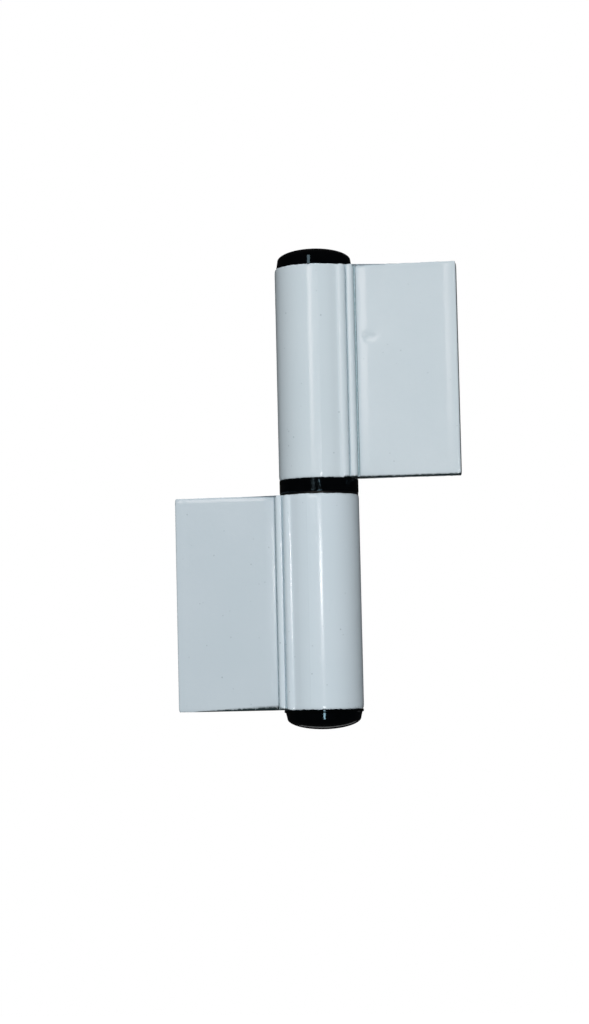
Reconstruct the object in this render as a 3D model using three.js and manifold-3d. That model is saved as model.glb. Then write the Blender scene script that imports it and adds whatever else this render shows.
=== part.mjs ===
// Two-knuckle flag hinge for aluminium doors and windows. The upper knuckle, with its leaf to +X,
// stands on the lower knuckle, with its leaf to -X, and lifts off its pin.
// Millimetres, +Z up along the pin. The origin is on the pin's axis at the middle of the black ring.
// The faces seen from the room look towards -Y.

import * as THREE from 'three';
import Module from 'manifold-3d';
import { mergeVertices } from 'three/addons/utils/BufferGeometryUtils.js';

const wasm = await Module();
wasm.setup();

// Driving dimensions.
const BARREL_RADIUS = 9;
const BARREL_LENGTH = 48.2;
const RING_GAP = 3.6;
const LEAF_REACH = 32.5;
const LEAF_FRONT = -4.2;
const LEAF_BACK = -0.2;
const BORE_RADIUS = 5.8;

// Between barrel and leaf: a bead that leaves the barrel tangentially, a crease, a rib and a slot.
const BEAD_START = 4.3;
const BEAD_CREST = 6.6;
const BEAD_FRONT = -7.15;
const BEAD_LEAD = 0.72;
const CREASE_START = 7.7;
const CREASE_LIP = -6.05;
const CREASE_FLOOR = -5.7;
const RIB_START = 7.9;
const RIB_END = 9.42;
const RIB_FRONT = -6.42;
const RIB_ROUND = 1.3;
const SLOT_WIDTH = 0.34;
const SLOT_FLOOR = -3.75;
const LEAF_EDGE_ROUND = 0.4;
const BACK_FILLET = 1.2;

// Pin and bushes.
const PIN_RADIUS = 4;
const PIN_HALF_LENGTH = 39;
const PIN_CHAMFER = 0.8;
const RUNNING_CLEARANCE = 0.06;
const SNUG_CLEARANCE = 0.03;
const BUSH_RADIUS = BORE_RADIUS - SNUG_CLEARANCE;
const BUSH_LENGTH = 39;
const FLANGE_THICKNESS = 0.5;
const FLANGE_RADIUS = 8.9;
const RING_CHAMFER = 0.15;
const FACE_GAP = 0.04;

// Domed end caps, each with a hollow spigot in the bore.
const CAP_HEIGHT = 4.5;
const CAP_FOOT_RADIUS = 8.64;
const CAP_SHOULDER_RADIUS = 8.35;
const CAP_SIDE_HEIGHT = 1.9;
const CAP_DOME_POWER = 2;
const CAP_RIM_HEIGHT = 0.6;
const CAP_RIM_RADIUS = 8.95;
const SPIGOT_RADIUS = 5.7;
const SPIGOT_WALL = 1.3;
const SPIGOT_DEPTH = 7;
const CAP_SKIN = 1.6;

// Grub screws, put in from the back of each barrel.
const GRUB_RADIUS = 2.4;
const GRUB_HOLE_RADIUS = 2.5;
const GRUB_HEIGHT = 28;
const GRUB_OUTER_END = 8.3;
const GRUB_SOCKET_RADIUS = 1.25;
const GRUB_SOCKET_DEPTH = 1.8;

const ROUND_SIDES = 64;
const SCREW_SIDES = 32;
const BEND_STEPS = 6;
const DOME_STEPS = 12;

// Materials.
function paintedAluminium() {
  return new THREE.MeshStandardMaterial({ color: 0xd3dde4, roughness: 0.3, metalness: 0.0 });
}

function blackPlastic() {
  return new THREE.MeshStandardMaterial({ color: 0x0a0a0b, roughness: 0.3, metalness: 0.0 });
}

function brightSteel() {
  return new THREE.MeshStandardMaterial({ color: 0xb8babd, roughness: 0.35, metalness: 1.0 });
}

// A closed mesh as a solid for cutting and joining.
function toSolid(geometry) {
  const bare = geometry.clone();
  bare.deleteAttribute('normal');
  bare.deleteAttribute('uv');
  const merged = mergeVertices(bare, 1e-4);
  return new wasm.Manifold(new wasm.Mesh({
    numProp: 3,
    vertProperties: new Float32Array(merged.attributes.position.array),
    triVerts: new Uint32Array(merged.index.array),
  }));
}

function toGeometry(solid) {
  const mesh = solid.getMesh();
  const geometry = new THREE.BufferGeometry();
  geometry.setAttribute('position', new THREE.BufferAttribute(new Float32Array(mesh.vertProperties), 3));
  geometry.setIndex(new THREE.BufferAttribute(new Uint32Array(mesh.triVerts), 1));
  geometry.computeVertexNormals();
  return geometry;
}

// A body of revolution about Z. The profile's points are [radius, height].
function turned(profile, sides = ROUND_SIDES) {
  const points = profile.map(([radius, height]) => new THREE.Vector2(radius, height));
  const geometry = new THREE.LatheGeometry(points, sides);
  geometry.rotateX(Math.PI / 2);
  return geometry;
}

function node(name, geometry, material) {
  const mesh = new THREE.Mesh(geometry, material);
  mesh.name = name;
  return mesh;
}

// A plain drill along +Y, from the pin's axis out through the back of a barrel.
function backDrill(radius, height) {
  const drill = new THREE.CylinderGeometry(radius, radius, 2 * BARREL_RADIUS, SCREW_SIDES);
  drill.translate(0, BARREL_RADIUS, height);
  return toSolid(drill);
}

// Points along part of a circle. Angles are in radians, in the order that they are passed.
function arc(centreX, centreY, radius, from, to, steps) {
  const curve = new THREE.EllipseCurve(centreX, centreY, radius, radius, from, to, to < from);
  return curve.getPoints(steps);
}

// Points along a bend that leaves its start towards the corner and arrives from it.
function bend(start, corner, end) {
  const points = [start, corner, end].map(([x, y]) => new THREE.Vector2(x, y));
  return new THREE.QuadraticBezierCurve(...points).getPoints(BEND_STEPS);
}

// The section of the upper extrusion, seen along the pin: barrel, bead, rib and leaf.
function leafSection() {
  const beadStart = [BEAD_START, -Math.sqrt(BARREL_RADIUS ** 2 - BEAD_START ** 2)];
  const beadStartAngle = Math.atan2(beadStart[1], beadStart[0]) + 2 * Math.PI;
  const bead = [BEAD_CREST, BEAD_FRONT];
  const ribTop = (RIB_START + RIB_END) / 2;
  const filletY = LEAF_BACK + BACK_FILLET;
  const filletX = Math.sqrt((BARREL_RADIUS + BACK_FILLET) ** 2 - filletY ** 2);
  const filletAngle = Math.atan2(filletY, filletX);
  const leafStart = RIB_END + SLOT_WIDTH;
  const softFront = LEAF_FRONT + LEAF_EDGE_ROUND;

  const outline = [
    ...arc(0, 0, BARREL_RADIUS, filletAngle, beadStartAngle, ROUND_SIDES),
    ...bend(beadStart, [BEAD_CREST - BEAD_LEAD, BEAD_FRONT], bead),
    ...bend(bead, [BEAD_CREST + BEAD_LEAD, BEAD_FRONT], [CREASE_START, CREASE_LIP]),
    new THREE.Vector2((CREASE_START + RIB_START) / 2, CREASE_FLOOR),
    ...bend([RIB_START, CREASE_LIP], [RIB_START, RIB_FRONT], [ribTop, RIB_FRONT]),
    ...bend([ribTop, RIB_FRONT], [RIB_END, RIB_FRONT], [RIB_END, RIB_FRONT + RIB_ROUND]),
    new THREE.Vector2(RIB_END, SLOT_FLOOR),
    new THREE.Vector2(leafStart, SLOT_FLOOR),
    ...bend([leafStart, softFront], [leafStart, LEAF_FRONT], [leafStart + LEAF_EDGE_ROUND, LEAF_FRONT]),
    ...bend([LEAF_REACH - LEAF_EDGE_ROUND, LEAF_FRONT], [LEAF_REACH, LEAF_FRONT], [LEAF_REACH, softFront]),
    new THREE.Vector2(LEAF_REACH, LEAF_BACK),
    ...arc(filletX, filletY, BACK_FILLET, 1.5 * Math.PI, Math.PI + filletAngle, BEND_STEPS),
  ];
  const distinct = outline.filter((point, index) => point.distanceTo(outline.at(index - 1)) > 1e-6);
  const section = new THREE.Shape(distinct);
  section.holes.push(new THREE.Path(arc(0, 0, BORE_RADIUS, 2 * Math.PI, 0, ROUND_SIDES)));
  return section;
}

// The upper extrusion, drilled at the back for its grub screw. The lower one is the same piece
// turned half a turn about Y.
function leafGeometry() {
  const body = new THREE.ExtrudeGeometry(leafSection(), {
    depth: BARREL_LENGTH,
    bevelEnabled: false,
  });
  body.translate(0, 0, RING_GAP / 2);
  return toGeometry(toSolid(body).subtract(backDrill(GRUB_HOLE_RADIUS, GRUB_HEIGHT)));
}

// A nylon sleeve in the bore, with a hole for the grub screw.
function sleeve(innerRadius) {
  const foot = RING_GAP / 2 + FACE_GAP;
  const tube = turned([
    [innerRadius, foot],
    [BUSH_RADIUS, foot],
    [BUSH_RADIUS, foot + BUSH_LENGTH],
    [innerRadius, foot + BUSH_LENGTH],
    [innerRadius, foot],
  ]);
  return toSolid(tube).subtract(backDrill(GRUB_HOLE_RADIUS, GRUB_HEIGHT));
}

// A thin flange on a sleeve, which keeps the ring off the barrel's cut end.
function flange(innerRadius) {
  const foot = RING_GAP / 2;
  return toSolid(turned([
    [innerRadius, foot - FLANGE_THICKNESS],
    [FLANGE_RADIUS, foot - FLANGE_THICKNESS],
    [FLANGE_RADIUS, foot - FACE_GAP],
    [BUSH_RADIUS, foot - FACE_GAP],
    [BUSH_RADIUS, foot + 2 * FACE_GAP],
    [innerRadius, foot + 2 * FACE_GAP],
    [innerRadius, foot - FLANGE_THICKNESS],
  ]));
}

// The thick ring that carries the upper knuckle's weight, on the lower bush's flange.
function ringGeometry() {
  const inner = PIN_RADIUS + RUNNING_CLEARANCE;
  const bottom = -RING_GAP / 2 + FLANGE_THICKNESS + FACE_GAP;
  const top = RING_GAP / 2 - FACE_GAP;
  return turned([
    [inner, bottom],
    [BARREL_RADIUS - RING_CHAMFER, bottom],
    [BARREL_RADIUS, bottom + RING_CHAMFER],
    [BARREL_RADIUS, top],
    [inner, top],
    [inner, bottom],
  ]);
}

function pinGeometry() {
  return turned([
    [0, -PIN_HALF_LENGTH],
    [PIN_RADIUS - PIN_CHAMFER, -PIN_HALF_LENGTH],
    [PIN_RADIUS, -PIN_HALF_LENGTH + PIN_CHAMFER],
    [PIN_RADIUS, PIN_HALF_LENGTH - PIN_CHAMFER],
    [PIN_RADIUS - PIN_CHAMFER, PIN_HALF_LENGTH],
    [0, PIN_HALF_LENGTH],
  ]);
}

// A cap for the upper barrel: spigot, thin rim on the barrel's end, short side and dome.
function capGeometry(rimRadius) {
  const seat = RING_GAP / 2 + BARREL_LENGTH + FACE_GAP;
  const rise = CAP_HEIGHT - CAP_SIDE_HEIGHT;
  const profile = [
    [SPIGOT_RADIUS - SPIGOT_WALL, seat - SPIGOT_DEPTH],
    [SPIGOT_RADIUS, seat - SPIGOT_DEPTH],
    [SPIGOT_RADIUS, seat],
    [rimRadius, seat],
    [rimRadius, seat + CAP_RIM_HEIGHT],
    [CAP_FOOT_RADIUS, seat + CAP_RIM_HEIGHT + 0.01],
  ];
  for (let step = 0; step < DOME_STEPS; step += 1) {
    const angle = (step / DOME_STEPS) * (Math.PI / 2);
    const reach = Math.cos(angle);
    const height = rise * Math.sqrt(1 - reach ** CAP_DOME_POWER);
    profile.push([CAP_SHOULDER_RADIUS * reach, seat + CAP_SIDE_HEIGHT + height]);
  }
  const ceiling = seat + CAP_HEIGHT - CAP_SKIN;
  profile.push([0, seat + CAP_HEIGHT], [0, ceiling], [SPIGOT_RADIUS - SPIGOT_WALL, ceiling]);
  profile.push(profile[0]);
  return turned(profile);
}

// A socket grub screw along +Y whose inner end stops at the given distance from the pin's axis.
function grubGeometry(innerEnd) {
  const length = GRUB_OUTER_END - innerEnd;
  const chamfer = 0.4;
  const screw = turned([
    [0, 0],
    [GRUB_RADIUS - chamfer, 0],
    [GRUB_RADIUS, chamfer],
    [GRUB_RADIUS, length],
    [0, length],
  ], SCREW_SIDES);
  const socket = new THREE.CylinderGeometry(GRUB_SOCKET_RADIUS, GRUB_SOCKET_RADIUS, 2 * GRUB_SOCKET_DEPTH, 6);
  socket.rotateX(Math.PI / 2);
  socket.translate(0, 0, length);
  const geometry = toGeometry(toSolid(screw).subtract(toSolid(socket)));
  geometry.rotateX(-Math.PI / 2);
  geometry.translate(0, innerEnd, GRUB_HEIGHT);
  return geometry;
}

// One knuckle with its own pieces, built as the upper one.
function knuckle(prefix, bush, capRimRadius, grubInnerEnd) {
  const side = new THREE.Group();
  side.add(node(`${prefix}_leaf`, leafGeometry(), paintedAluminium()));
  side.add(node(`${prefix}_bush`, toGeometry(bush), blackPlastic()));
  side.add(node(`${prefix}_cap`, capGeometry(capRimRadius), blackPlastic()));
  side.add(node(`${prefix}_grub_screw`, grubGeometry(grubInnerEnd), brightSteel()));
  return side;
}

// The upper bush turns on the pin, and its grub screw locks it in the barrel without touching the pin.
const runningBore = PIN_RADIUS + RUNNING_CLEARANCE;
const upper = knuckle('upper', sleeve(runningBore), CAP_FOOT_RADIUS, PIN_RADIUS + 0.6);

// The lower knuckle is the same one upside down. Its grub screw goes through the bush to the pin.
const snugBore = PIN_RADIUS + SNUG_CLEARANCE;
const lower = knuckle('lower', sleeve(snugBore).add(flange(snugBore)), CAP_RIM_RADIUS, snugBore);
lower.rotation.y = Math.PI;

const hinge = new THREE.Group();
hinge.add(lower, upper);
hinge.add(node('bearing_ring', ringGeometry(), blackPlastic()));
hinge.add(node('hinge_pin', pinGeometry(), brightSteel()));

export default hinge;
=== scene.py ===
"""Looks of the lift-off flag hinge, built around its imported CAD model.

Two powder-coated knuckles, black moulded caps and ring, nylon bushes, a steel pin and two grub screws.
Lengths are in millimetres in the named values and in the shape functions, and become metres in the mesh.
The sections are drawn for the upper knuckle. The lower one is the same piece turned half a turn about Y.
"""

from math import acos, atan2, cos, exp, hypot, pi, radians, sin, sqrt, tanh

import bmesh
import bpy
from mathutils import Matrix, Vector, noise


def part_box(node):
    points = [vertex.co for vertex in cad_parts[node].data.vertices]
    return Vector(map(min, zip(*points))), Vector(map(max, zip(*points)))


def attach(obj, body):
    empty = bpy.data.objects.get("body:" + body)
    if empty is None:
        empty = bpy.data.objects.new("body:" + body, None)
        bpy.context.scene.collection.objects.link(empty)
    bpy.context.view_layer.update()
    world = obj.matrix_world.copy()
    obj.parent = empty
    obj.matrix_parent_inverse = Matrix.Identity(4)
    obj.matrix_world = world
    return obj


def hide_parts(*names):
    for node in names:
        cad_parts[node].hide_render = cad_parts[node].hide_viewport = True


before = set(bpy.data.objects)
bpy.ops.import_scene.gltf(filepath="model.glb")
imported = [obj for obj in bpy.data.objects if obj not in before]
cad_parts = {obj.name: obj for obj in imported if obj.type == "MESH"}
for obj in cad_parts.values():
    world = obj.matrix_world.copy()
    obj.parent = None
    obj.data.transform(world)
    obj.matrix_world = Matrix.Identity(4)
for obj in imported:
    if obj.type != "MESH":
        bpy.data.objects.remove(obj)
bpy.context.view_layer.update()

MM = 0.001

# Sizes read from the frame.
_leaf_low, _leaf_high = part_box("upper_leaf")
_pin_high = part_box("hinge_pin")[1]
_cap_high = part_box("upper_cap")[1]
_grub_low, _grub_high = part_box("upper_grub_screw")
_lower_grub_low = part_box("lower_grub_screw")[0]
BARREL_RADIUS = -_leaf_low.y / MM
KNUCKLE_FOOT = _leaf_low.z / MM
KNUCKLE_TOP = _leaf_high.z / MM
LEAF_REACH = _leaf_high.x / MM
PIN_RADIUS = _pin_high.x / MM
PIN_END = _pin_high.z / MM
CAP_TOP = _cap_high.z / MM
GRUB_Z = (_grub_low.z + _grub_high.z) / 2 / MM
GRUB_OUTER = _grub_high.y / MM
UPPER_GRUB_INNER = _grub_low.y / MM
LOWER_GRUB_INNER = _lower_grub_low.y / MM
GRUB_RADIUS = (_grub_high.x - _grub_low.x) / 2 / MM

# Sizes of the section that the boxes don't show. BARREL_RADIUS is 9, and the front is towards -Y.
BORE_RADIUS = 5.8
LEAF_FRONT = -4.2
LEAF_BACK = -0.2
BACK_FILLET = 1.2
BEAD_START_X = 4.3
BEAD_FOOT_X = 5.85
BEAD_FOOT_LEAD = 0.25
BEAD_FOOT_SLOPE = 0.158
BEAD_X = 6.47
BEAD_Y = -7.15
BEAD_FALL = 0.35
GROOVE_LEFT = 7.7
GROOVE_LIP = -6.05
GROOVE_FLOOR = -5.7
RIB_LEFT = 7.9
RIB_FOOT_WIDTH = 0.2
RIB_FOOT_DROP = 0.034
RIB_MIDDLE = 8.65
RIB_RIGHT = 9.42
RIB_FRONT = -6.42
RIB_SIDE = 1.2
LEAF_START = 9.76
SLOT_FLOOR = -3.75
SLOT_ROUND = 0.3
SOFT_EDGE_DEPTH = 0.17
SOFT_EDGE_REACH = 2.8
LEAF_START_ROUND = 0.25
LIP_HEIGHT = 0.09
LIP_WIDTH = 3.2
LIP_RISE = 2.2
CORNER_ROUND = 0.45
BACK_CORNER_ROUND = 0.3
FLAT_ANGLE = 1.5 * pi + radians(6.5)
FLAT_SPREAD = radians(5.0)
FLAT_SWELL = 0.05
END_ROUNDING = [(0.0, 0.24), (0.1, 0.14), (0.25, 0.075), (0.5, 0.028), (0.8, 0.007), (1.1, 0.0)]
END_RAG = 0.09
RAG_REACH = 0.5
SWAY = 0.012
HOLE_GAP = 0.1

# The paint's marks, and the painted shadow along the sawn front edges.
DIE_LINE_X = 1.86
DENT_MIDDLE = (12.2, 33.6)
DENT_FOLD_MIDDLE = (12.7, 33.7)
UPPER_CUT_SHADOW_DEPTH = 0.35
LOWER_CUT_SHADOW_DEPTH = 1.2
LOWER_CUT_SHADOW_START_X = 30.0
LOWER_CUT_SHADOW_TAPER = 20.0
LOWER_CUT_SHADOW_RIB_DEPTH = 0.9
LOWER_CUT_SHADOW_BEAD_DEPTH = 0.1

# Caps, ring, bushes, pin and screws.
CAP_SEAT_GAP = 0.04
CAP_SIDE_RADIUS = 8.64
CAP_SHOULDER_RADIUS = 8.35
CAP_SIDE_HEIGHT = 1.9
CAP_RIM_HEIGHT = 0.6
LOWER_CAP_RIM_RADIUS = 8.95
SPIGOT_INNER = 4.4
SPIGOT_OUTER = 5.7
SPIGOT_LENGTH = 7.0
CAP_WALL = 1.6
DOME_STEPS = 40
RING_INSET = 0.05
RUNNING_GAP = 0.06
FIXED_GAP = 0.03
BUSH_LENGTH = 39.0
BUSH_GAP = 0.03
FLANGE_RADIUS = 8.88
FLANGE_THICKNESS = 0.46
FLANGE_GAP = 0.04
PIN_NOSE = 0.9
PIN_CENTRE_MARK = 0.7
SOCKET_RADIUS = 1.4
SOCKET_DEPTH = 1.8
GRUB_CHAMFER = 0.3
GRUB_POINT_CHAMFER = 0.4
GRUB_CUP_RADIUS = 1.1
GRUB_CUP_DEPTH = 0.35

# Mesh fineness.
ARC_STEPS = 160
ROOT_STEPS = 26
BEND_STEPS = 10
FLAT_STEP = 0.4
RING_STEP = 0.6
TURN_SIDES = 128
RING_ROWS = 9
SHARP_ANGLE = radians(35)

# Camera.
CAMERA_AIM = Vector((-5.73, 0.0, -5.26))
CAMERA_DISTANCE = 574.3
CAMERA_AZIMUTH = radians(6.93)
CAMERA_ELEVATION = radians(-4.06)
CAMERA_ROLL = radians(1.30)
CAMERA_LENS = 88.94

FLOOR_Z = -500.0
FLOOR_SIZE = 6000.0


# ---------------------------------------------------------------- mesh helpers

def add_object(name, mesh):
    """A smooth-shaded object whose edges over 35 degrees stay sharp."""
    mesh.validate()
    mesh.shade_smooth()
    mesh.set_sharp_from_angle(angle=SHARP_ANGLE)
    piece = bpy.data.objects.new(name, mesh)
    bpy.context.scene.collection.objects.link(piece)
    return piece


def mesh_from(name, points, faces):
    """A mesh in metres from points in millimetres."""
    mesh = bpy.data.meshes.new(name)
    mesh.from_pydata([tuple(c * MM for c in point) for point in points], [], faces)
    build = bmesh.new()
    build.from_mesh(mesh)
    bmesh.ops.recalc_face_normals(build, faces=build.faces)
    build.to_mesh(mesh)
    build.free()
    return mesh


def softened(profile, radius, steps=4):
    """The profile with its inner corners rounded by quadratic bends."""
    soft = [profile[0]]
    for before, corner, after in zip(profile, profile[1:], profile[2:]):
        reach_in = min(radius, hypot(corner[0] - before[0], corner[1] - before[1]) / 2)
        reach_out = min(radius, hypot(after[0] - corner[0], after[1] - corner[1]) / 2)
        start = step_towards(corner, before, reach_in)
        end = step_towards(corner, after, reach_out)
        soft.extend(bend(start, corner, end, steps))
    soft.append(profile[-1])
    return soft


def step_towards(start, target, distance):
    """The point that lies the distance from start on the way to target."""
    gap = hypot(target[0] - start[0], target[1] - start[1])
    share = distance / gap
    return (start[0] + (target[0] - start[0]) * share, start[1] + (target[1] - start[1]) * share)


def bend(start, corner, end, steps=BEND_STEPS):
    """Points on the curve that leaves start towards corner and arrives at end from it."""
    points = []
    for index in range(steps + 1):
        t = index / steps
        points.append(tuple(
            (1 - t) ** 2 * a + 2 * t * (1 - t) * b + t * t * c
            for a, b, c in zip(start, corner, end)
        ))
    return points


def arc(radius, start, end, steps, centre=(0.0, 0.0)):
    """Points on a circle from one angle to another, in radians."""
    points = []
    for index in range(steps + 1):
        angle = start + (end - start) * index / steps
        points.append((centre[0] + radius * cos(angle), centre[1] + radius * sin(angle)))
    return points


def turned(name, profile, sides=TURN_SIDES, wobble=0.0):
    """A body turned about Z from (radius, height) points. It closes on the axis or on itself."""
    closed = profile[0] == profile[-1]
    loop = profile[:-1] if closed else profile
    points = []
    rows = []
    for radius, height in loop:
        if radius < 1e-6:
            rows.append([len(points)])
            points.append((0.0, 0.0, height))
            continue
        row = []
        for side in range(sides):
            angle = 2 * pi * side / sides
            x = radius * cos(angle)
            y = radius * sin(angle)
            shift = wobble * noise.noise(Vector((x, y, height)) * 0.9)
            row.append(len(points))
            points.append((x * (1 + shift / radius), y * (1 + shift / radius), height))
        rows.append(row)
    faces = []
    pairs = list(zip(rows, rows[1:]))
    if closed:
        pairs.append((rows[-1], rows[0]))
    for low, high in pairs:
        for side in range(sides):
            after = (side + 1) % sides
            corners = [low[side % len(low)], low[after % len(low)]]
            corners += [high[after % len(high)], high[side % len(high)]]
            faces.append(list(dict.fromkeys(corners)))
    faces = [face for face in faces if len(face) > 2]
    return add_object(name, mesh_from(name, points, faces))


def cut(piece, cutter):
    """Takes the cutter's shape out of the piece and deletes the cutter."""
    modifier = piece.modifiers.new("cut", "BOOLEAN")
    modifier.operation = "DIFFERENCE"
    modifier.solver = "EXACT"
    modifier.object = cutter
    bpy.context.view_layer.update()
    evaluated = piece.evaluated_get(bpy.context.evaluated_depsgraph_get())
    mesh = bpy.data.meshes.new_from_object(evaluated)
    piece.modifiers.remove(modifier)
    piece.data = mesh
    mesh.shade_smooth()
    mesh.set_sharp_from_angle(angle=SHARP_ANGLE)
    bpy.data.objects.remove(cutter)


def rod_along_y(radius, start, end, height, sides=48):
    """A cutter that points along +Y, for the grub screws' holes and sockets."""
    rod = turned("cutter", [(0.0, start), (radius, start), (radius, end), (0.0, end)], sides)
    rod.data.transform(Matrix.Translation((0.0, 0.0, height * MM)) @ Matrix.Rotation(-pi / 2, 4, "X"))
    return rod


def flipped(piece):
    """Turns a piece made for the upper knuckle half a turn about Y, for the lower one."""
    piece.data.transform(Matrix.Rotation(pi, 4, "Y"))
    return piece


# ---------------------------------------------------------------- the knuckle

def leaf_front(x):
    """How far forward the leaf's face is: it falls off at the slot and thickens at its free edge."""
    near_slot = min((x - LEAF_START) / SOFT_EDGE_REACH, 1.0)
    soft = SOFT_EDGE_DEPTH * (1 - near_slot) ** 2
    rise = min(max((x - LEAF_REACH + LIP_WIDTH) / LIP_RISE, 0.0), 1.0)
    lip = LIP_HEIGHT * rise * rise * (3 - 2 * rise)
    return LEAF_FRONT + soft - lip


def barrel_swell(angle):
    """How far the barrel strays from round, in millimetres: it is a little flat beside its front line."""
    off = (angle - FLAT_ANGLE) / FLAT_SPREAD
    return FLAT_SWELL * tanh(off) * exp(-(off / 8.0) ** 2)


def flat_run(start_x, end_x, height_at):
    """Evenly spaced points between two places on a face."""
    steps = max(2, round(abs(end_x - start_x) / FLAT_STEP))
    return [
        (start_x + (end_x - start_x) * i / steps, height_at(start_x + (end_x - start_x) * i / steps))
        for i in range(steps + 1)
    ]


def knuckle_outline():
    """The outline round barrel, bead, crease, rib, slot and leaf, how many of its points are barrel, and
    the angles between which the leaf's root covers the barrel."""
    fillet_y = LEAF_BACK + BACK_FILLET
    fillet_x = sqrt((BARREL_RADIUS + BACK_FILLET) ** 2 - fillet_y ** 2)
    fillet_angle = atan2(fillet_y, fillet_x)
    shoulder_angle = 2 * pi - acos(BEAD_START_X / BARREL_RADIUS)
    barrel = arc(BARREL_RADIUS, fillet_angle, shoulder_angle, ARC_STEPS)
    shoulder = barrel[-1]
    bead = (BEAD_X, BEAD_Y)
    half_bead = (BEAD_X - BEAD_FOOT_X) / 2
    bead_foot = (BEAD_FOOT_X, BEAD_Y + half_bead * BEAD_FOOT_SLOPE)
    groove_in = (GROOVE_LEFT, GROOVE_LIP)
    groove_middle = ((GROOVE_LEFT + RIB_LEFT) / 2, 2 * GROOVE_FLOOR - GROOVE_LIP)
    groove_out = (RIB_LEFT, GROOVE_LIP)
    rib_foot = (RIB_LEFT + RIB_FOOT_WIDTH, RIB_FRONT + RIB_FOOT_DROP)
    rib_top = (RIB_MIDDLE, RIB_FRONT)
    slot_left = (RIB_RIGHT + 0.01, SLOT_FLOOR - SLOT_ROUND)
    slot_middle = ((RIB_RIGHT + LEAF_START) / 2, SLOT_FLOOR)
    slot_right = (LEAF_START - 0.01, SLOT_FLOOR - SLOT_ROUND)
    leaf_x = LEAF_START + LEAF_START_ROUND
    edge_x = LEAF_REACH - CORNER_ROUND
    edge_y = leaf_front(edge_x)
    back_x = LEAF_REACH - BACK_CORNER_ROUND
    lead = BEAD_FOOT_LEAD
    rest = bend(shoulder, (BEAD_FOOT_X - lead, bead_foot[1] + lead * BEAD_FOOT_SLOPE), bead_foot)
    rest += bend(bead_foot, (BEAD_X - half_bead, BEAD_Y), bead)
    rest += bend(bead, (GROOVE_LEFT - BEAD_FALL, BEAD_Y), groove_in)
    rest += bend(groove_in, groove_middle, groove_out)
    rest += bend(groove_out, (RIB_LEFT + 0.02, RIB_FRONT + 0.06), rib_foot)
    rest += bend(rib_foot, (RIB_LEFT + 0.44, RIB_FRONT), rib_top)
    rest += bend(rib_top, (RIB_RIGHT - 0.02, RIB_FRONT), (RIB_RIGHT, RIB_FRONT + RIB_SIDE))
    rest += bend(slot_left, (RIB_RIGHT + 0.02, SLOT_FLOOR), slot_middle, 4)
    rest += bend(slot_middle, (LEAF_START - 0.02, SLOT_FLOOR), slot_right, 4)
    rest += bend((LEAF_START, LEAF_FRONT + 0.55), (LEAF_START, leaf_front(LEAF_START)),
                 (leaf_x, leaf_front(leaf_x)), 4)
    rest += flat_run(LEAF_START + 0.5, edge_x, leaf_front)
    rest += bend((edge_x, edge_y), (LEAF_REACH, edge_y), (LEAF_REACH, edge_y + CORNER_ROUND), 6)
    rest += bend((LEAF_REACH, LEAF_BACK - BACK_CORNER_ROUND), (LEAF_REACH, LEAF_BACK),
                 (back_x, LEAF_BACK), 4)
    rest += flat_run(LEAF_REACH - 0.7, fillet_x + 0.2, lambda x: LEAF_BACK)
    rest += arc(BACK_FILLET, 1.5 * pi, pi + fillet_angle, 6, (fillet_x, fillet_y))
    outline = list(barrel)
    for point in rest:
        if hypot(point[0] - outline[-1][0], point[1] - outline[-1][1]) > 1e-3:
            outline.append(point)
    if hypot(outline[-1][0] - outline[0][0], outline[-1][1] - outline[0][1]) < 1e-3:
        outline.pop()
    return outline, len(barrel), (shoulder_angle, fillet_angle + 2 * pi)


def outward_normals(outline):
    """The outline's outward direction at each point."""
    normals = []
    count = len(outline)
    for index in range(count):
        x0, y0 = outline[index - 1]
        x1, y1 = outline[(index + 1) % count]
        length = hypot(x1 - x0, y1 - y0)
        normals.append(((y1 - y0) / length, -(x1 - x0) / length))
    return normals


def ring_heights():
    """(height, inset) for each ring: softly rounded cut ends with even rings between them."""
    rings = [(KNUCKLE_FOOT + rise, inset) for rise, inset in END_ROUNDING]
    steps = round((KNUCKLE_TOP - KNUCKLE_FOOT) / RING_STEP)
    for index in range(2, steps - 1):
        rings.append((KNUCKLE_FOOT + (KNUCKLE_TOP - KNUCKLE_FOOT) * index / steps, 0.0))
    rings += [(KNUCKLE_TOP - rise, inset) for rise, inset in reversed(END_ROUNDING)]
    return rings


def skin_points(outline, rings, seed):
    """The outline at each ring's height, a little uneven all over and ragged at the cut ends."""
    normals = outward_normals(outline)
    points = []
    for height, inset in rings:
        end_share = max(0.0, 1.0 - min(height - KNUCKLE_FOOT, KNUCKLE_TOP - height) / RAG_REACH)
        for (x, y), (nx, ny) in zip(outline, normals):
            rag = END_RAG * noise.noise(Vector((x * 0.9, y * 0.9, seed + height * 0.02)))
            rag += END_RAG * noise.noise(Vector((x * 2.6, y * 2.6, seed + 7.0)))
            sway = SWAY * noise.noise(Vector((x * 0.25, y * 0.25, height * 0.09 + seed)))
            push = sway - inset
            if hypot(x, y) < BARREL_RADIUS + 0.01 and y < 0.0:
                push += barrel_swell(atan2(y, x) + 2 * pi)
            points.append((x + nx * push, y + ny * push, height + rag * end_share))
    return points


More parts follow.
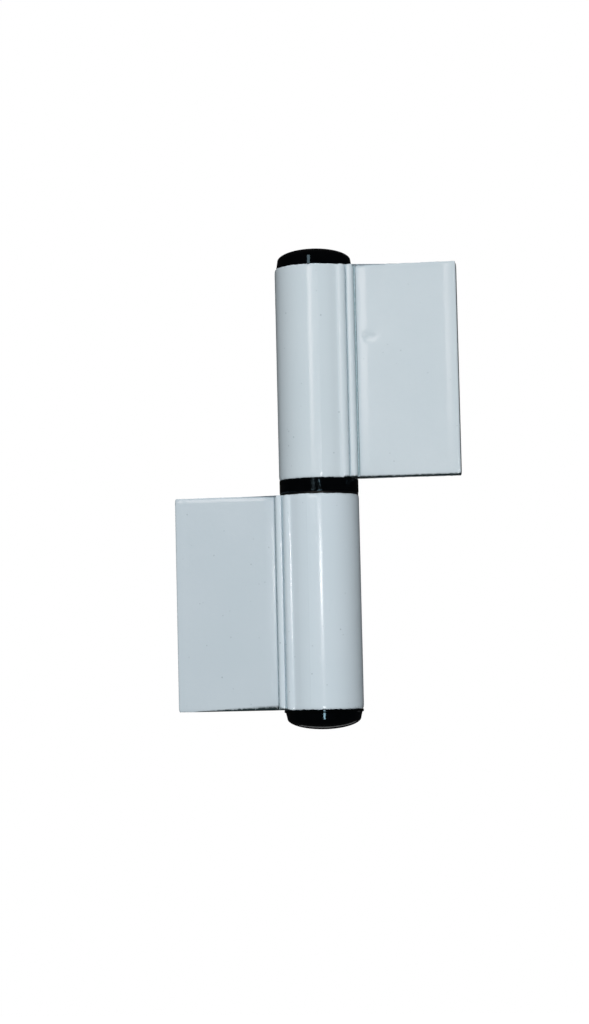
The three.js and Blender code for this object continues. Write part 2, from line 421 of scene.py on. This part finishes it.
def knuckle(name, seed, cut_height, cut_shadow_depth):
    """One powder-coated extrusion with its bore and its ends. The last argument gives the depth of the
    painted shadow along the cut end at x.
    """
    outline, barrel_count, root = knuckle_outline()
    rings = ring_heights()
    count = len(outline)
    points = skin_points(outline, rings, seed)
    faces = []
    for ring in range(len(rings) - 1):
        for index in range(count):
            after = (index + 1) % count
            low = ring * count
            high = low + count
            faces.append([low + index, low + after, high + after, high + index])

    bore_angles = [atan2(y, x) for x, y in outline[:barrel_count]]
    root_angles = [root[0] + (root[1] - root[0]) * i / ROOT_STEPS for i in range(1, ROOT_STEPS)]
    bore_ends = []
    root_ends = []
    for height in (KNUCKLE_FOOT, KNUCKLE_TOP):
        bore_ends.append(len(points))
        points += [(BORE_RADIUS * cos(a), BORE_RADIUS * sin(a), height) for a in bore_angles + root_angles]
        root_ends.append(len(points))
        inner = BARREL_RADIUS - rings[0][1]
        points += [(inner * cos(a), inner * sin(a), height) for a in root_angles]
    bore_count = len(bore_angles) + len(root_angles)
    foot, top = bore_ends
    for index in range(bore_count):
        after = (index + 1) % bore_count
        faces.append([foot + after, foot + index, top + index, top + after])
    for end, first in ((0, 0), (1, (len(rings) - 1) * count)):
        rim = [first + i for i in range(barrel_count)]
        rim += [root_ends[end] + i for i in range(ROOT_STEPS - 1)]
        for index in range(bore_count):
            after = (index + 1) % bore_count
            faces.append([bore_ends[end] + index, bore_ends[end] + after, rim[after], rim[index]])
        leaf = [first + i for i in range(barrel_count - 1, count)] + [first]
        faces.append(leaf + [root_ends[end] + i for i in reversed(range(ROOT_STEPS - 1))])
    piece = add_object(name, mesh_from(name, points, faces))
    cut(piece, rod_along_y(GRUB_RADIUS + HOLE_GAP, 7.0, BARREL_RADIUS + 3.0, GRUB_Z))
    mark_grooves(piece)
    mark_cut_shadow(piece, cut_height, cut_shadow_depth)
    return piece


def mark_grooves(piece):
    """Stores how much painted shade each point gets: a little in the crease, more in the slot, for the paint
    to use.
    """
    mesh = piece.data
    depth = mesh.attributes.new("groove_shade", "FLOAT", "POINT")
    values = []
    for vertex in mesh.vertices:
        x = vertex.co.x / MM
        y = vertex.co.y / MM
        painted_shade = 0.0
        if GROOVE_LIP - 0.05 < y < -4.0:
            painted_shade = 0.4 * exp(-((x - (GROOVE_LEFT + RIB_LEFT) / 2) / 0.13) ** 2)
        if RIB_RIGHT - 0.02 < x < LEAF_START + 0.02 and LEAF_FRONT + 0.1 < y < -3.0:
            painted_shade = max(painted_shade, 0.7)
        values.append(painted_shade)
    depth.data.foreach_set("value", values)


def mark_cut_shadow(piece, end_height, depth_at):
    """Stores where the sawn front edge gets a ragged painted shadow, from the bead outwards."""
    shade = piece.data.attributes.new("cut_shade", "FLOAT", "POINT")
    values = []
    for vertex in piece.data.vertices:
        x, y, z = (c / MM for c in vertex.co)
        on_front = BEAD_X < x and y < LEAF_FRONT + 0.4
        depth = max(depth_at(x), 0.02)
        values.append(max(0.0, 1.0 - abs(z - end_height) / depth) if on_front else 0.0)
    shade.data.foreach_set("value", values)


def upper_cut_shadow_depth(x):
    """The painted shadow along the upper leaf's saw cut has the same depth all along, in millimetres."""
    return UPPER_CUT_SHADOW_DEPTH


def lower_cut_shadow_depth(x):
    """The painted shadow along the lower leaf's saw cut grows from the free edge to the slot, and fades at
    the rib.
    """
    if x > LEAF_START:
        return LOWER_CUT_SHADOW_DEPTH * (LOWER_CUT_SHADOW_START_X - x) / LOWER_CUT_SHADOW_TAPER
    return max(LOWER_CUT_SHADOW_RIB_DEPTH * (x - BEAD_X) / (LEAF_START - BEAD_X), LOWER_CUT_SHADOW_BEAD_DEPTH)


# ---------------------------------------------------------------- turned pieces

def cap(name, rim_radius):
    """A domed plug with a hollow spigot, on the barrel's end. It has a rim if rim_radius asks for one."""
    seat = KNUCKLE_TOP + CAP_SEAT_GAP
    side_top = seat + CAP_SIDE_HEIGHT
    rise = CAP_TOP - side_top
    rim_top = seat + CAP_RIM_HEIGHT
    spigot_end = seat - SPIGOT_LENGTH
    foot = [(SPIGOT_INNER, spigot_end), (SPIGOT_OUTER, spigot_end), (SPIGOT_OUTER, seat)]
    if rim_radius > CAP_SIDE_RADIUS:
        foot += [(rim_radius, seat), (rim_radius, rim_top), (CAP_SIDE_RADIUS, rim_top + 0.05)]
    else:
        foot += [(CAP_SIDE_RADIUS, seat)]
    profile = softened(foot + [(CAP_SHOULDER_RADIUS, side_top)], 0.12)
    for index in range(1, DOME_STEPS):
        reach = cos(index / DOME_STEPS * pi / 2)
        profile.append((CAP_SHOULDER_RADIUS * reach, side_top + rise * sqrt(1 - reach * reach)))
    ceiling = CAP_TOP - CAP_WALL
    profile += [(0.0, CAP_TOP), (0.0, ceiling), (SPIGOT_INNER, ceiling), profile[0]]
    return turned(name, profile, wobble=0.006)


def bearing_ring():
    """The glossy ring between the knuckles, a little uneven round its rim as mouldings are."""
    low, high = (corner.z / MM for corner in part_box("bearing_ring"))
    inner = PIN_RADIUS + RUNNING_GAP
    outer = BARREL_RADIUS - RING_INSET
    side = [(outer, low + (high - low) * i / RING_ROWS) for i in range(RING_ROWS + 1)]
    loop = [(inner, (low + high) / 2), (inner, low)] + side + [(inner, high), (inner, (low + high) / 2)]
    return turned("bearing_ring_moulded", softened(loop, 0.16), wobble=0.004)


def bush(name, inner, flange):
    """A nylon sleeve in the bore, with or without the thin flange that shows under the ring."""
    foot = KNUCKLE_FOOT
    end = foot + BUSH_LENGTH
    outer = BORE_RADIUS - BUSH_GAP
    loop = [(inner, (foot + end) / 2)]
    if flange:
        above = foot - FLANGE_GAP
        below = above - FLANGE_THICKNESS
        loop += [(inner, below), (FLANGE_RADIUS, below), (FLANGE_RADIUS, above), (outer, above)]
    else:
        loop += [(inner, foot + FLANGE_GAP), (outer, foot + FLANGE_GAP)]
    loop += [(outer, end), (inner, end), (inner, (foot + end) / 2)]
    sleeve = turned(name, softened(loop, 0.1))
    cut(sleeve, rod_along_y(GRUB_RADIUS + HOLE_GAP, 0.0, BARREL_RADIUS, GRUB_Z))
    return sleeve


def hinge_pin():
    """The ground steel pin, with rounded noses and a centre mark in each end."""
    half = [(0.0, PIN_END - PIN_CENTRE_MARK), (PIN_CENTRE_MARK, PIN_END)]
    half += [(PIN_RADIUS - PIN_NOSE, PIN_END), (PIN_RADIUS, PIN_END - PIN_NOSE)]
    other = [(radius, -height) for radius, height in reversed(half)]
    return turned("hinge_pin_ground", softened(half + other, 0.35, 6), sides=96)


def grub_screw(name, inner_end):
    """A socket screw along +Y, with a cupped point and chamfered ends."""
    profile = [(0.0, inner_end + GRUB_CUP_DEPTH), (GRUB_CUP_RADIUS, inner_end)]
    profile += [(GRUB_RADIUS - GRUB_POINT_CHAMFER, inner_end), (GRUB_RADIUS, inner_end + GRUB_POINT_CHAMFER)]
    profile += [(GRUB_RADIUS, GRUB_OUTER - GRUB_CHAMFER), (GRUB_RADIUS - GRUB_CHAMFER, GRUB_OUTER)]
    profile.append((0.0, GRUB_OUTER))
    screw = turned(name, softened(profile, 0.08), sides=72)
    screw.data.transform(Matrix.Translation((0.0, 0.0, GRUB_Z * MM)) @ Matrix.Rotation(-pi / 2, 4, "X"))
    cut(screw, rod_along_y(SOCKET_RADIUS, GRUB_OUTER - SOCKET_DEPTH, GRUB_OUTER + 2.0, GRUB_Z, sides=6))
    return screw


# ---------------------------------------------------------------- materials

class Nodes:
    """Short calls that build one material's node tree. Noise is placed by object coordinates in metres."""

    def __init__(self, name):
        self.material = bpy.data.materials.new(name)
        self.material.use_nodes = True
        self.tree = self.material.node_tree
        self.shader = self.tree.nodes["Principled BSDF"]
        self.place = self.tree.nodes.new("ShaderNodeTexCoord").outputs["Object"]

    def link(self, source, target):
        self.tree.links.new(source, target)

    def stretched(self, scale):
        mapping = self.tree.nodes.new("ShaderNodeMapping")
        mapping.inputs["Scale"].default_value = scale
        self.link(self.place, mapping.inputs["Vector"])
        return mapping.outputs["Vector"]

    def uneven(self, scale, low, high, detail=3.0):
        """Noise spread over the range from low to high."""
        return self.remap(self.noise(scale, detail), 0.3, 0.7, low, high)

    def noise(self, scale, detail=3.0, roughness=0.55, vector=None):
        texture = self.tree.nodes.new("ShaderNodeTexNoise")
        texture.inputs["Scale"].default_value = scale
        texture.inputs["Detail"].default_value = detail
        texture.inputs["Roughness"].default_value = roughness
        self.link(vector or self.place, texture.inputs["Vector"])
        return texture.outputs["Fac"]

    def spots(self, scale):
        texture = self.tree.nodes.new("ShaderNodeTexVoronoi")
        texture.inputs["Scale"].default_value = scale
        self.link(self.place, texture.inputs["Vector"])
        return texture.outputs["Distance"]

    def remap(self, value, low, high, to_low, to_high):
        node = self.tree.nodes.new("ShaderNodeMapRange")
        for key, number in (("From Min", low), ("From Max", high), ("To Min", to_low), ("To Max", to_high)):
            node.inputs[key].default_value = number
        self.link(value, node.inputs["Value"])
        return node.outputs["Result"]

    def math(self, operation, *values):
        node = self.tree.nodes.new("ShaderNodeMath")
        node.operation = operation
        for socket, value in zip(node.inputs, values):
            if isinstance(value, float):
                socket.default_value = value
            else:
                self.link(value, socket)
        return node.outputs["Value"]

    def mix(self, factor, first, second):
        node = self.tree.nodes.new("ShaderNodeMix")
        node.data_type = "RGBA"
        self.link(factor, node.inputs["Factor"])
        for key, value in (("A", first), ("B", second)):
            socket = next(s for s in node.inputs if s.name == key and s.type == "RGBA")
            if isinstance(value, tuple):
                socket.default_value = (*value, 1.0)
            else:
                self.link(value, socket)
        return next(s for s in node.outputs if s.type == "RGBA")

    def along(self, axis):
        """The object coordinate along X, Y or Z."""
        split = self.tree.nodes.new("ShaderNodeSeparateXYZ")
        self.link(self.place, split.inputs["Vector"])
        return split.outputs[axis]

    def beyond(self, reach):
        """1 where the part is farther out along X than reach, in millimetres."""
        return self.math("GREATER_THAN", self.math("ABSOLUTE", self.along("X")), reach * MM)

    def ridge(self, middle, half_width):
        """A round-topped line along Z, placed and sized in metres: 1 at its middle and 0 away from it."""
        off = self.math("DIVIDE", self.math("SUBTRACT", self.along("X"), middle), half_width)
        return self.math("DIVIDE", 1.0, self.math("ADD", self.math("POWER", off, 2.0), 1.0))

    def scoop(self, middle, left, right, half_height):
        """A soft spot seen along Y, sized in millimetres: 1 at its middle, fading to 0 past its ends."""
        off = self.math("SUBTRACT", self.along("X"), middle[0] * MM)
        to_left = self.math("DIVIDE", off, -left * MM)
        to_right = self.math("DIVIDE", off, right * MM)
        across = self.math("MAXIMUM", to_left, to_right)
        up = self.math("DIVIDE", self.math("SUBTRACT", self.along("Z"), middle[1] * MM), half_height * MM)
        squares = self.math("ADD", self.math("POWER", across, 2.0), self.math("POWER", up, 2.0))
        return self.math("EXPONENT", self.math("MULTIPLY", squares, -1.0))

    def scaled(self, colour, share):
        """The colour, made darker or lighter."""
        node = self.tree.nodes.new("ShaderNodeVectorMath")
        node.operation = "SCALE"
        node.inputs["Scale"].default_value = share
        self.link(colour, node.inputs[0])
        return node.outputs["Vector"]

    def attribute(self, name):
        """A value that was stored at the mesh's points."""
        node = self.tree.nodes.new("ShaderNodeAttribute")
        node.attribute_name = name
        return node.outputs["Fac"]

    def bump(self, height, distance, under=None):
        """Raises the surface by distance, in metres, where height is 1. A negative distance sinks it."""
        node = self.tree.nodes.new("ShaderNodeBump")
        node.invert = distance < 0
        node.inputs["Strength"].default_value = 1.0
        node.inputs["Distance"].default_value = abs(distance)
        self.link(height, node.inputs["Height"])
        if under is not None:
            self.link(under, node.inputs["Normal"])
        return node.outputs["Normal"]


def powder_coat(name, light, shade, leaf_shade, side, dented):
    """Glossy white powder coat: orange peel, faint die lines, pinhead specks, painted shade in the grooves.

    The leaf, past the slot, is darkened by the given share as painted shade. side is 1 or -1: the side of
    the pin's axis that the die line is on.
    """
    n = Nodes(name)
    speck_colour = (0.20, 0.28, 0.33)
    groove_shade_colour = (0.24, 0.38, 0.41)
    cut_shadow_colour = (0.02, 0.035, 0.038)
    cloud = n.remap(n.noise(60.0, 4.0), 0.35, 0.65, 0.0, 1.0)
    colour = n.mix(cloud, shade, light)
    colour = n.mix(n.math("MULTIPLY", n.uneven(900.0, 0.0, 1.0), 0.35), colour, shade)
    patch = n.remap(n.noise(260.0, 2.0), 0.5, 0.62, 0.0, 1.0)
    speck = n.math("MULTIPLY", n.remap(n.spots(520.0), 0.06, 0.13, 1.0, 0.0), patch)
    colour = n.mix(n.math("MULTIPLY", speck, 0.45), colour, speck_colour)
    # Painted shade in the crease and slot, teal-grey.
    groove_shade_share = n.math("MULTIPLY", n.attribute("groove_shade"), n.uneven(1300.0, 0.35, 1.0, detail=4.0))
    colour = n.mix(groove_shade_share, colour, groove_shade_colour)
    # Painted shadow along the sawn front edge, nearly black and ragged.
    ragged = n.math("MULTIPLY", n.attribute("cut_shade"), n.uneven(1800.0, 1.0, 2.6))
    colour = n.mix(n.math("MINIMUM", ragged, 1.0), colour, cut_shadow_colour)
    # Painted shade: the leaf is darker than the barrel, for how the light falls on it.
    colour = n.mix(n.beyond(LEAF_START), colour, n.scaled(colour, leaf_shade))
    n.link(colour, n.shader.inputs["Base Color"])
    n.link(n.uneven(400.0, 0.11, 0.16), n.shader.inputs["Roughness"])
    peel = n.bump(n.noise(1100.0, 2.0, 0.5), 0.000012)
    sway = n.bump(n.noise(160.0, 2.0, 0.5), 0.00003, under=peel)
    lines = n.bump(n.noise(1.0, 2.0, 0.5, n.stretched((2200.0, 2200.0, 30.0))), 0.000004, under=sway)
    die_line = n.bump(n.ridge(side * DIE_LINE_X * MM, 0.00015), 0.00002, under=lines)
    pits = n.bump(speck, -0.00001, under=die_line)
    if dented:
        pits = n.bump(n.scoop(DENT_MIDDLE, 0.85, 1.8, 1.1), -0.00016, under=pits)
        pits = n.bump(n.scoop(DENT_FOLD_MIDDLE, 1.1, 1.3, 0.4), -0.00008, under=pits)
    n.link(pits, n.shader.inputs["Normal"])
    n.shader.inputs["IOR"].default_value = 1.5
    return n.material


def black_plastic(name, lump_height):
    """Moulded black plastic, glossy and slightly uneven. lump_height is in metres."""
    n = Nodes(name)
    colour = n.mix(n.uneven(350.0, 0.0, 1.0), (0.0006, 0.0007, 0.0009), (0.0012, 0.0014, 0.0018))
    n.link(colour, n.shader.inputs["Base Color"])
    n.link(n.uneven(700.0, 0.05, 0.09), n.shader.inputs["Roughness"])
    lumps = n.bump(n.noise(2400.0, 1.0, 0.5), lump_height)
    waves = n.bump(n.noise(300.0, 2.0), 0.00003, under=lumps)
    n.link(waves, n.shader.inputs["Normal"])
    n.shader.inputs["IOR"].default_value = 1.48
    n.shader.inputs["Specular Tint"].default_value = (0.5, 0.82, 1.0, 1.0)
    return n.material


def nylon(name):
    """Satin black nylon with fine turning lines."""
    n = Nodes(name)
    colour = n.mix(n.uneven(200.0, 0.0, 1.0), (0.0015, 0.0017, 0.0020), (0.0030, 0.0034, 0.0040))
    n.link(colour, n.shader.inputs["Base Color"])
    n.link(n.uneven(900.0, 0.35, 0.55, detail=2.0), n.shader.inputs["Roughness"])
    lines = n.bump(n.noise(1.0, 2.0, 0.5, n.stretched((60.0, 60.0, 4000.0))), 0.00001)
    n.link(lines, n.shader.inputs["Normal"])
    return n.material


def ground_steel(name):
    """Zinc-plated steel with grinding marks round it and darker patches."""
    n = Nodes(name)
    patch = n.remap(n.noise(180.0, 4.0), 0.35, 0.65, 0.0, 1.0)
    n.link(n.mix(patch, (0.52, 0.53, 0.54), (0.68, 0.68, 0.67)), n.shader.inputs["Base Color"])
    streak = n.noise(1.0, 3.0, 0.6, n.stretched((120.0, 120.0, 6000.0)))
    n.link(n.remap(streak, 0.3, 0.7, 0.20, 0.42), n.shader.inputs["Roughness"])
    n.link(n.bump(streak, 0.000006), n.shader.inputs["Normal"])
    n.shader.inputs["Metallic"].default_value = 0.6
    return n.material


def pale_floor(name):
    """A near-white studio floor with the faintest mottle."""
    n = Nodes(name)
    colour = n.mix(n.uneven(3.0, 0.0, 1.0), (0.90, 0.90, 0.90), (0.93, 0.93, 0.93))
    n.link(colour, n.shader.inputs["Base Color"])
    n.shader.inputs["Roughness"].default_value = 0.9
    n.shader.inputs["Emission Color"].default_value = (1.0, 1.0, 1.0, 1.0)
    n.shader.inputs["Emission Strength"].default_value = 0.95
    return n.material


# ---------------------------------------------------------------- scene

def put(piece, material, body, node):
    """Gives a piece its material and body, and lets it stand for its CAD node."""
    piece.data.materials.clear()
    piece.data.materials.append(material)
    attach(piece, body)
    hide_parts(node)


def build_hinge():
    # Both knuckles wear the same paint; the lower coat's colours are set a touch lighter and bluer as
    # painted light, for how the light falls on it.
    upper_white = ((0.605, 0.69, 0.74), (0.585, 0.675, 0.725))
    lower_white = ((0.61, 0.70, 0.76), (0.59, 0.685, 0.745))
    upper_paint = powder_coat("upper_powder_coat", *upper_white, leaf_shade=0.955, side=1.0, dented=True)
    lower_paint = powder_coat("lower_powder_coat", *lower_white, leaf_shade=0.90, side=-1.0, dented=False)
    cap_black = black_plastic("cap_black", 0.000003)
    ring_black = black_plastic("ring_black", 0.000022)
    bush_black = nylon("bush_nylon")
    steel = ground_steel("ground_steel")

    upper = knuckle("upper_leaf_painted", 3.0, KNUCKLE_FOOT, upper_cut_shadow_depth)
    put(upper, upper_paint, "upper_side", "upper_leaf")
    lower = flipped(knuckle("lower_leaf_painted", 11.0, KNUCKLE_TOP, lower_cut_shadow_depth))
    put(lower, lower_paint, "lower_side", "lower_leaf")

    upper_cap = cap("upper_cap_moulded", CAP_SIDE_RADIUS)
    put(upper_cap, cap_black, "upper_side", "upper_cap")
    lower_cap = flipped(cap("lower_cap_moulded", LOWER_CAP_RIM_RADIUS))
    put(lower_cap, cap_black, "lower_side", "lower_cap")
    put(bearing_ring(), ring_black, "ring", "bearing_ring")

    upper_bush = bush("upper_bush_turned", PIN_RADIUS + RUNNING_GAP, False)
    put(upper_bush, bush_black, "upper_side", "upper_bush")
    lower_bush = flipped(bush("lower_bush_turned", PIN_RADIUS + FIXED_GAP, True))
    put(lower_bush, bush_black, "lower_side", "lower_bush")

    put(hinge_pin(), steel, "lower_side", "hinge_pin")
    upper_screw = grub_screw("upper_grub_screw_cut", UPPER_GRUB_INNER)
    put(upper_screw, steel, "upper_side", "upper_grub_screw")
    lower_screw = flipped(grub_screw("lower_grub_screw_cut", LOWER_GRUB_INNER))
    put(lower_screw, steel, "lower_side", "lower_grub_screw")


def area_light(name, place, aim, size, power, colour=(1.0, 1.0, 1.0), glossy=True, diffuse=True):
    """A rectangular light, (width, height) in millimetres, that may skip reflections or soft light."""
    light = bpy.data.lights.new(name, "AREA")
    light.shape = "RECTANGLE"
    light.size = size[0] * MM
    light.size_y = size[1] * MM
    light.energy = power
    light.color = colour
    lamp = bpy.data.objects.new(name, light)
    lamp.location = Vector(place) * MM
    lamp.rotation_euler = (Vector(aim) - Vector(place)).to_track_quat("-Z", "Y").to_euler()
    lamp.visible_glossy = glossy
    lamp.visible_diffuse = diffuse
    bpy.context.scene.collection.objects.link(lamp)


def build_lights():
    """Soft light from the front, behind and above, and narrow lights that the gloss reflects."""
    centre = (0.0, 0.0, 0.0)
    knuckle_middle = (0.0, 0.0, 30.0)
    warm = (1.0, 0.88, 0.84)
    pale = (1.0, 0.93, 0.92)
    area_light("front_fill", (40.0, -640.0, 60.0), centre, (200.0, 200.0), 2.85, glossy=False)
    area_light("flash", (66.0, -600.0, 6.0), (0.0, 0.0, -15.0), (40.0, 8.0), 0.13, pale)
    area_light("strip", (-105.0, -590.0, 205.0), knuckle_middle, (84.0, 260.0), 0.29, warm, diffuse=False)
    area_light("strip_tail", (-105.0, -590.0, 66.0), knuckle_middle, (84.0, 18.0), 0.009, warm,
               diffuse=False)
    area_light("low_strip", (72.0, -600.0, -300.0), (0.0, 0.0, -50.0), (60.0, 350.0), 0.9, diffuse=False)
    area_light("low_back", (0.0, 500.0, -300.0), centre, (300.0, 60.0), 0.02)
    area_light("back_soft", (-60.0, 900.0, 200.0), centre, (500.0, 500.0), 7.0, glossy=False)
    area_light("top_soft", (0.0, 0.0, 900.0), centre, (400.0, 400.0), 2.0, glossy=False)


def build_world():
    """White behind the object, dim for what the gloss reflects, softly lit for the rest."""
    world = bpy.data.worlds.new("studio")
    bpy.context.scene.world = world
    world.use_nodes = True
    tree = world.node_tree
    background = tree.nodes["Background"]
    background.inputs["Color"].default_value = (1.0, 1.0, 1.0, 1.0)
    path = tree.nodes.new("ShaderNodeLightPath")
    strength = None
    for ray, amount in (("Is Camera Ray", 1.0), ("Is Diffuse Ray", 0.24), ("Is Glossy Ray", 0.012)):
        term = tree.nodes.new("ShaderNodeMath")
        term.operation = "MULTIPLY_ADD"
        term.inputs[1].default_value = amount
        term.inputs[2].default_value = 0.0
        tree.links.new(path.outputs[ray], term.inputs[0])
        if strength is not None:
            tree.links.new(strength, term.inputs[2])
        strength = term.outputs["Value"]
    tree.links.new(strength, background.inputs["Strength"])


def build_floor():
    """A pale floor far below, seen by the camera but not in reflections or in bounced light."""
    half = FLOOR_SIZE / 2
    corners = [(x, y, FLOOR_Z) for x, y in ((-half, -half), (half, -half), (half, half), (-half, half))]
    floor = add_object("studio_floor", mesh_from("studio_floor", corners, [(0, 1, 2, 3)]))
    floor.data.materials.append(pale_floor("floor_pale"))
    floor.visible_diffuse = False
    floor.visible_glossy = False


def build_camera():
    """The camera on its circle round the aim point, rolled about its own axis."""
    back = Vector((
        sin(CAMERA_AZIMUTH) * cos(CAMERA_ELEVATION),
        -cos(CAMERA_AZIMUTH) * cos(CAMERA_ELEVATION),
        sin(CAMERA_ELEVATION),
    ))
    level_right = Vector((cos(CAMERA_AZIMUTH), sin(CAMERA_AZIMUTH), 0.0))
    level_up = back.cross(level_right)
    right = level_right * cos(CAMERA_ROLL) - level_up * sin(CAMERA_ROLL)
    up = back.cross(right)
    camera = bpy.data.objects.new("camera", bpy.data.cameras.new("camera"))
    camera.data.lens = CAMERA_LENS
    camera.data.clip_start = 0.01
    camera.matrix_world = (
        Matrix.Translation((CAMERA_AIM + back * CAMERA_DISTANCE) * MM)
        @ Matrix((right, up, back)).transposed().to_4x4()
    )
    bpy.context.scene.collection.objects.link(camera)
    bpy.context.scene.camera = camera


bpy.context.scene.view_settings.view_transform = "Standard"
build_camera()
build_world()
build_lights()
build_floor()
build_hinge()
